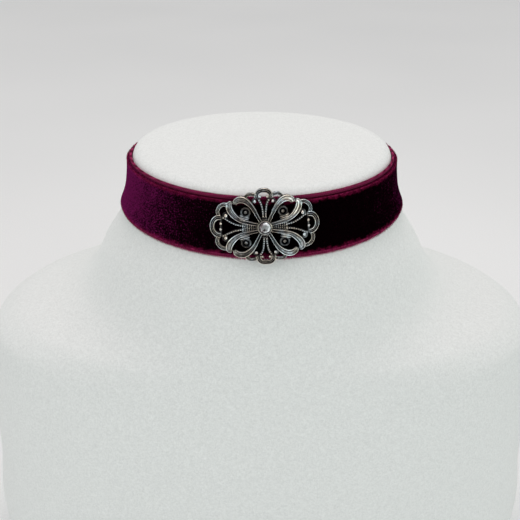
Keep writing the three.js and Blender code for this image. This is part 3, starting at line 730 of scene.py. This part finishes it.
def add_strip(path, wide, low, tall, trough, closed=False, beads=0, hollow_rubbing_and_painted_highlight=(0.12, 0.12)):
    """A cast strip along a flat path, with round ends. beads is the radius of a row of beads along it, or 0."""
    last = len(path) if closed else len(path) - 1
    fine = np.linspace(0, last, 60 * last + 1)
    line = spline(path, fine, closed)
    along = np.concatenate([[0], np.cumsum(np.linalg.norm(np.diff(line, axis=0), axis=1))])
    count = max(int(along[-1] / strip_spacing), 6)
    ease = np.linspace(0, 1, count + 1)
    crowded = (1 - np.cos(ease * math.pi)) / 2
    reach = ease if closed else ease * (1 - end_crowding) + crowded * end_crowding
    stations = np.interp(reach * along[-1], along, fine)
    if closed:
        stations = stations[:-1]
    centre = spline(path, stations, closed)
    nudge = 0.01
    before, after = (spline(path, np.clip(stations + n, 0, last), closed) for n in (-nudge, nudge))
    ahead = after - before
    ahead /= np.linalg.norm(ahead, axis=1)[:, None]
    aside = np.stack([-ahead[:, 1], ahead[:, 0]], axis=-1)
    widths = np.atleast_1d(np.array(wide, float)) * petal_width
    breadth = np.interp(stations, np.linspace(0, last, len(widths)), widths)
    if closed:
        rounding = np.ones(len(stations))
    else:
        place = np.interp(stations, fine, along)
        from_end = np.minimum(place, along[-1] - place) / (breadth * 0.5)
        rounding = np.sqrt(np.clip(1 - (1 - np.clip(from_end, 0, 1)) ** 2, 0.02, 1))
    cut = np.array(strip_cut(trough / tall))
    sideways = cut[None, :, 0] * (breadth * rounding)[:, None]
    plan = centre[:, None, :] - aside[:, None, :] * sideways[..., None]
    rise = tall * cast_thickness * (end_height + (1 - end_height) * rounding[:, None])
    height = low * cast_thickness + cut[None, :, 1] * rise
    points = np.concatenate([plan, height[..., None]], axis=-1)
    # On the petals, hollow_shine carries their polish and the painted highlight of each quarter.
    hollow_shine = np.interp(stations, (0, last), hollow_rubbing_and_painted_highlight)[:, None]
    polish_and_painted_highlight = np.where(cut[None, :, 2] < 0, -cut[None, :, 2] * hollow_shine, cut[None, :, 2]).ravel()
    cuts, corners = height.shape
    faces = grid_faces(cuts, corners, round_rows=closed, round_columns=True)
    if not closed:
        faces += [list(range(corners))[::-1], list(range((cuts - 1) * corners, cuts * corners))]
    add_cast(points, faces, polish_and_painted_highlight)
    if beads:
        radius = beads * petal_width
        places = np.arange(radius, along[-1] - radius, radius * 2.1)
        level = (low + tall - max(trough, 0) * 0.8) * cast_thickness
        for at in spline(path, np.interp(places, along, fine), closed):
            add_ball((*at, level), radius, 1.0 if trough < 0 else 0.8, 8, 5)


def add_ball(centre, radius, polish_and_painted_highlight=0.95, sides=20, rows=12):
    """A ball, bright on top and black low down, where polishing doesn't reach."""
    tilt = np.linspace(0, math.pi, rows + 1)[1:-1]
    turn = np.linspace(0, 2 * math.pi, sides, endpoint=False)
    ring = np.stack(
        [
            np.sin(tilt)[:, None] * np.cos(turn)[None, :],
            np.sin(tilt)[:, None] * np.sin(turn)[None, :],
            np.broadcast_to(np.cos(tilt)[:, None], (rows - 1, sides)),
        ],
        axis=-1,
    ).reshape(-1, 3)
    unit = np.concatenate([ring, [(0, 0, 1), (0, 0, -1)]])
    top, foot = len(ring), len(ring) + 1
    faces = [face[::-1] for face in grid_faces(rows - 1, sides, round_columns=True)]
    last = (rows - 2) * sides
    faces += [[i, (i + 1) % sides, top] for i in range(sides)]
    faces += [[last + (i + 1) % sides, last + i, foot] for i in range(sides)]
    faces = [face[::-1] if len(face) == 4 else face for face in faces]
    add_cast(unit * radius + np.array(centre), faces, polish_and_painted_highlight * np.clip(unit[:, 2] * 1.4 + 0.35, 0, 1))


def add_block(place, columns, rows, height, polish_and_painted_highlight=0.3):
    """A low block over a grid of plan points place(share across, share along), with a lumpy top."""
    s, t = np.meshgrid(np.linspace(-1, 1, columns), np.linspace(0, 1, rows))
    plan = place(s, t)
    low, top = height(s, t)
    upper = np.concatenate([plan, top[..., None]], axis=-1).reshape(-1, 3)
    lower = np.concatenate([plan, np.broadcast_to(low, top.shape)[..., None]], axis=-1).reshape(-1, 3)
    size = rows * columns
    faces = grid_faces(rows, columns)
    faces += [[v + size for v in reversed(face)] for face in grid_faces(rows, columns)]
    rim = [c for c in range(columns)] + [r * columns + columns - 1 for r in range(1, rows)]
    rim += [size - 1 - c for c in range(1, columns)] + [r * columns for r in range(rows - 2, 0, -1)]
    faces += [[b, a, a + size, b + size] for a, b in zip(rim, rim[1:] + rim[:1])]
    relief = max(np.ptp(upper[:, 2]), mm * 0.001)
    shine = np.clip((upper[:, 2] - upper[:, 2].min()) / relief, 0, 1)
    add_cast(np.concatenate([upper, lower]), faces, polish_and_painted_highlight * np.concatenate([shine, np.zeros(size)]))


# The petals' hollows are painted brightest at the upper right and darker in the other quarters, a painted
# highlight of the light from the right.
painted_hollow_highlight = {(1, 1): 1.05, (-1, 1): 0.7, (-1, -1): 0.7, (1, -1): 0.75}
for way in quarters:
    for strip in strips:
        form = {key: value for key, value in strip.items() if key != "path"}
        if "hollow_rubbing_and_painted_highlight" in form:
            form["hollow_rubbing_and_painted_highlight"] = [polish_and_painted_highlight * painted_hollow_highlight[way] for polish_and_painted_highlight in form["hollow_rubbing_and_painted_highlight"]]
        add_strip(flat(strip["path"], way), **form)

end_loops = [
    dict(path=[(0.77, 0.24), (0.87, 0.215), (0.935, 0.11), (0.95, 0)], wide=0.83, mirror=(1, -1)),
    dict(path=[(0.125, 0.74), (0.125, 0.85), (0.08, 0.925), (0, 0.945)], wide=0.76, mirror=(-1, 1)),
]
for loop in end_loops:
    for way in (1, -1):
        half = flat(loop["path"])
        whole = np.concatenate([half, half[-2::-1] * loop["mirror"]]) * way
        add_strip(whole, loop["wide"], low=0, tall=0.77, trough=0.26, beads=0.1)

# The bar that closes each side loop.
for way in (1, -1):
    ends = flat([(0.785, 0.27), (0.785, -0.27)]) * way
    add_strip(ends, 0.38, low=0.06, tall=0.5, trough=-0.06)

balls = [
    dict(at=(0.165, 0.67), radius=0.31, high=0.49),
    dict(at=(0.065, 0.79), radius=0.24, high=0.49),
    dict(at=(0.69, 0.295), radius=0.36, high=0.49),
    dict(at=(0.785, 0.075), radius=0.25, high=0.57),
]
curls = [
    dict(ball=0, start=120, end=-50, wide=0.29),
    dict(ball=2, start=-70, end=150, wide=0.36),
]
curl_grip = 0.12 * mm
for way in quarters:
    for ball in balls:
        add_ball((*flat(ball["at"], way)[0], ball["high"] * cast_thickness), ball["radius"] * petal_width)
    for curl in curls:
        ball = balls[curl["ball"]]
        radius = (ball["radius"] + curl["wide"] / 2) * petal_width - curl_grip
        angles = np.radians(np.linspace(curl["start"], curl["end"], 9))
        circle = flat(ball["at"])[0] + radius * np.stack([np.cos(angles), np.sin(angles)], axis=-1)
        add_strip(circle * way, curl["wide"], low=0.06, tall=0.68, trough=-0.09)

# Each pair of petals holds a floret: a milled ring round a ball, on a leaf with ribs across it.
floret = dict(at=(0.33, 0.4), radius=0.71, wide=0.36, low=0.17, tall=0.77, trough=0.17)
floret_ball = dict(radius=0.34, high=0.54)
floret_notches = 22
leaf = dict(
    root=(0.375, 0.16), root_wide=1.5, wide=1.8, reach=0.62, low=0.17, tall=0.51, ribs=3, rib_tall=0.17
)
floret_notch = 0.1 * mm


def add_floret(way):
    centre = flat(floret["at"], way)[0]
    sides = floret_notches * 6
    turn = np.linspace(0, 2 * math.pi, sides, endpoint=False)
    radius = floret["radius"] * petal_width
    wide = floret["wide"] * petal_width
    top = (floret["low"] + floret["tall"]) * cast_thickness
    low = floret["low"] * cast_thickness
    notch = 0.5 + 0.5 * np.cos(turn * floret_notches)
    cut = [(-0.5, 0.62, 0.0, 0), (-0.42, 0.93, 0.1, 0), (-0.2, 1, 0.4, 0.3), (0.1, 0.98, 0.6, 0.8),
           (0.38, 0.9, 0.7, 1), (0.5, 0.72, 0.3, 1), (0.5, 0, 0, 0.3)]
    rings, shine = [], []
    for across, up, bright, notched in cut:
        cut_away = notched * (1 - notch)
        reach = radius + across * wide - floret_notch * 0.9 * cut_away
        lift = low + up * (top - low) - floret_notch * cut_away
        x, y = centre[0] + reach * np.cos(turn), centre[1] + reach * np.sin(turn)
        rings.append(np.stack([x, y, np.broadcast_to(lift, sides)], axis=-1))
        shine.append(np.broadcast_to(bright * (1 - cut_away), sides))
    count = len(cut)
    faces = grid_faces(count, sides, round_columns=True)
    faces += [list(range(sides)), list(range((count - 1) * sides, count * sides))[::-1]]
    faces = [face[::-1] for face in faces]
    add_cast(np.stack(rings), faces, np.clip(np.concatenate(shine), 0, 1))
    add_ball((*centre, floret_ball["high"] * cast_thickness), floret_ball["radius"] * petal_width, 0.6)
    root = flat(leaf["root"], way)[0]
    away = (centre - root) * leaf["reach"]
    side = np.array([-away[1], away[0]]) / np.linalg.norm(away)

    def place(s, t):
        breadth = petal_width * (leaf["root_wide"] + (leaf["wide"] - leaf["root_wide"]) * t) / 2
        return root + away * t[..., None] + side * (s * breadth)[..., None]

    def height(s, t):
        ribs = (0.5 - 0.5 * np.cos(t * leaf["ribs"] * 2 * math.pi)) ** 0.7
        rise = leaf["low"] + leaf["tall"] * (1 - 0.25 * s**4) + leaf["rib_tall"] * ribs
        return leaf["low"] * cast_thickness, rise * cast_thickness

    add_block(place, 15, 31, height, 0.85)


for way in quarters:
    add_floret(way)

# The tapering bars beside the cup, each covered with a grid of small beads.
cross_bars = [
    dict(start=0.14, end=0.33, wide=(1.05, 0.86), size=half_up, along=(0, 1), beads=(4, 4)),
    dict(start=0.1, end=0.4, wide=(0.85, 1.5), size=half_across, along=(1, 0), beads=(4, 8)),
]
bar_low = 0.07
bar_tall = 0.5
bar_top = (bar_low + bar_tall) * cast_thickness
for bar in cross_bars:
    for way in (1, -1):
        forward = np.array(bar["along"]) * way
        side = np.array([-forward[1], forward[0]])

        def bar_place(s, t, bar=bar, forward=forward, side=side):
            reach = (bar["start"] + (bar["end"] - bar["start"]) * t) * bar["size"]
            breadth = (bar["wide"][0] + (bar["wide"][1] - bar["wide"][0]) * t) * petal_width / 2
            return forward * np.asarray(reach)[..., None] + side * np.asarray(s * breadth)[..., None]

        def bar_height(s, t):
            return bar_low * cast_thickness, bar_top + 0 * s

        add_block(bar_place, 5, 5, bar_height, 0.0)
        across, length = bar["beads"]
        for row in range(length):
            forth = (row + 0.5) / length
            breadth = (bar["wide"][0] + (bar["wide"][1] - bar["wide"][0]) * forth) * petal_width
            radius = min(breadth / across, (bar["end"] - bar["start"]) * bar["size"] / length) * 0.47
            for column in range(across):
                s = (column + 0.5) / across * 2 - 1
                at = bar_place(np.array(s * 0.96), np.array(forth))
                add_ball((*at, bar_top), radius, 0.85, 8, 5)

# The cup, turned with a thin rim that is rubbed over the stone's edge.
stone_radius = 2 * mm
cup_wall = 0.28 * mm
cup_floor = 0.5 * mm
stone_pavilion = 0.9 * mm
stone_girdle = 0.2 * mm
cup_lip = 0.15 * mm
girdle = cup_floor + seat_gap + stone_pavilion
cup_inside = stone_radius + seat_gap
cup_radius = cup_inside + cup_wall
cup_rim = girdle + stone_girdle + cup_lip
cup_cut = [
    (cup_radius - 0.08 * mm, 0, 0), (cup_radius, cup_rim * 0.5, 0.1), (cup_radius, cup_rim * 0.8, 0.4),
    (cup_radius - 0.08 * mm, cup_rim * 0.95, 0.6), (cup_radius - 0.2 * mm, cup_rim, 0.75),
    (stone_radius - 0.02 * mm, cup_rim - 0.02 * mm, 0.25), (cup_inside - 0.1 * mm, girdle, 0.0),
    (stone_radius * 0.35 + seat_gap, cup_floor, 0.4),
]
cup_turn = np.linspace(0, 2 * math.pi, 64, endpoint=False)
cup_rings = np.array([[(r * math.cos(a), r * math.sin(a), h) for a in cup_turn] for r, h, _ in cup_cut])
cup_faces = grid_faces(len(cup_cut), 64, round_columns=True)
cup_faces += [list(range(64))[::-1], list(range((len(cup_cut) - 1) * 64, len(cup_cut) * 64))]
add_cast(cup_rings, cup_faces, np.repeat([p for _, _, p in cup_cut], 64))

lower_reach, middle_reach, upper_reach = (bust_reach("front", ribbon_depth(side)) for side in (-1, 0, 1))
ornament_lean = math.atan((lower_reach - upper_reach) / ribbon_width)
ribbon_hollow = (lower_reach + upper_reach) / 2 - middle_reach
ornament_out = seat_gap + ribbon_cloth + ribbon_pile + seat_gap + max(float(ribbon_hollow), 0)


def bend_to_neck(points):
    """Takes points of the flat ornament to their places on the ribbon's front."""
    cos, sin = math.cos(ornament_tilt), math.sin(ornament_tilt)
    x = points[:, 0] * cos - points[:, 1] * sin
    y = points[:, 0] * sin + points[:, 1] * cos
    from_middle = np.hypot(points[:, 0] / half_across, points[:, 1] / half_up)
    high = points[:, 2] + ornament_dome * (1 - np.minimum(from_middle, 1) ** 2)
    turn = (x + ornament_shift) / (bust_reach("wide", ribbon_middle) + ornament_out)
    up = y + ornament_rise
    out = ornament_out - up * math.sin(ornament_lean) + high * math.cos(ornament_lean)
    placed = skin(ribbon_middle, turn, out)
    placed[:, 2] += up * math.cos(ornament_lean) + high * math.sin(ornament_lean)
    return placed


silver_finish, start = finish("blackened_silver")
rubbed_and_painted_highlight = start.node("Attribute", attribute_name="polish_and_painted_highlight", out="Fac")
spot = start.node("TexCoord", out="Object")
patina = spot.noise(900.0, 3.0, 0.6)
stain = spot.noise(260.0, 2.0)
# bright follows the rubbed high places and, on the petals' hollows, the painted highlight.
bright = (rubbed_and_painted_highlight * 1.2 + patina * 0.7 + stain * 0.5 - 0.7).ramp(0.0, 1.0)
tone = stain.ramp(0.4, 0.6).mixed(colour(250, 238, 222), colour(240, 249, 255))
silver_shader = start.node(
    "BsdfPrincipled",
    {
        "Base Color": (bright**2.2).mixed(colour(20, 20, 28), tone),
        "Metallic": 1.0,
        "Roughness": 0.42 - bright * 0.3,
        "Normal": patina.bump(0.03 * mm, 0.6),
    },
)
start.node("OutputMaterial", {"Surface": silver_shader})
ornament = piece(
    "ornament_casting",
    bend_to_neck(np.concatenate(cast["points"])),
    cast["faces"],
    [silver_finish],
    {"polish_and_painted_highlight": np.concatenate(cast["polish_and_painted_highlight"])},
)
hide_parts("filigree_ornament")
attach(ornament, "root")

# The stone: a small brilliant of clear glass with a mirrored back. Each facet's colour is a painted reflection
# of its own, brighter to the right as painted light from the right. It is held in the cup by the rim.
stone_table = 1.15 * mm
stone_crown = 0.8 * mm
crown_star = 0.62
girdle_top = girdle + stone_girdle


def stone_ring(radius, high, count, offset):
    angle = (np.arange(count) + offset) / count * 2 * math.pi
    return np.stack([radius * np.cos(angle), radius * np.sin(angle), np.full(count, high)], axis=-1)


def facet(*corners):
    """A facet with corners of its own, so that its tone stops at its edges. Its tone is a painted reflection
    that differs from facet to facet, and those to the right are painted brighter, as painted light from the
    right.
    """
    first = sum(len(each) for each in facets["points"])
    facets["points"].append(np.array(corners))
    facets["faces"].append(list(range(first, first + len(corners))))
    to_the_right = np.mean(corners, axis=0)[0] / stone_radius
    tone = 0.45 + 0.6 * to_the_right + chance.uniform(-0.35, 0.35)
    facets["tone"].append(np.full(len(corners), tone))


facets = {"points": [], "faces": [], "tone": []}
table_ring = stone_ring(stone_table, girdle_top + stone_crown, 8, 0)
star_ring = stone_ring((stone_table + stone_radius) / 2, girdle_top + stone_crown * crown_star, 8, 0.5)
upper_ring = stone_ring(stone_radius, girdle_top, 16, 0)
lower_ring = stone_ring(stone_radius, girdle, 16, 0)
keel_ring = stone_ring(stone_radius * 0.35, girdle - stone_pavilion, 8, 0.5)
table_middle = table_ring.mean(axis=0)
for i in range(8):
    j = (i + 1) % 8
    left, middle, right = upper_ring[2 * i], upper_ring[2 * i + 1], upper_ring[(2 * i + 2) % 16]
    facet(table_middle, table_ring[i], table_ring[j])
    facet(table_ring[i], star_ring[i], table_ring[j])
    facet(table_ring[i], left, star_ring[i])
    facet(star_ring[i], right, table_ring[j])
    facet(left, middle, star_ring[i])
    facet(star_ring[i], middle, right)
    facet(lower_ring[2 * i], keel_ring[i], lower_ring[2 * i + 1])
    facet(lower_ring[2 * i + 1], keel_ring[i], lower_ring[(2 * i + 2) % 16])
    facet(keel_ring[i], keel_ring[j], lower_ring[(2 * i + 2) % 16])
for i in range(16):
    j = (i + 1) % 16
    facet(lower_ring[i], lower_ring[j], upper_ring[j], upper_ring[i])
facet(*keel_ring[::-1])

stone_finish, start = finish("crystal")
facet_painted_reflection = start.node("Attribute", attribute_name="tone", out="Fac")
spot = start.node("TexCoord", out="Object")
cloud = spot.noise(900.0, 1.0)
# The facets' painted reflections set the stone's colour, from dark to bright.
lit = (facet_painted_reflection + cloud * 0.3).ramp(0.15, 0.95)
stone_shader = start.node(
    "BsdfPrincipled",
    {
        "Base Color": lit.mixed(colour(92, 76, 80), colour(246, 252, 255)),
        "Metallic": 0.7,
        "Roughness": 0.06 + cloud * 0.08,
        "Coat Weight": 1.0,
        "Coat Roughness": 0.02,
    },
)
start.node("OutputMaterial", {"Surface": stone_shader})
stone = piece(
    "stone_brilliant",
    bend_to_neck(np.concatenate(facets["points"])),
    facets["faces"],
    [stone_finish],
    {"tone": np.concatenate(facets["tone"])},
    smooth=False,
)
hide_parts("centre_stone")
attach(stone, "root")
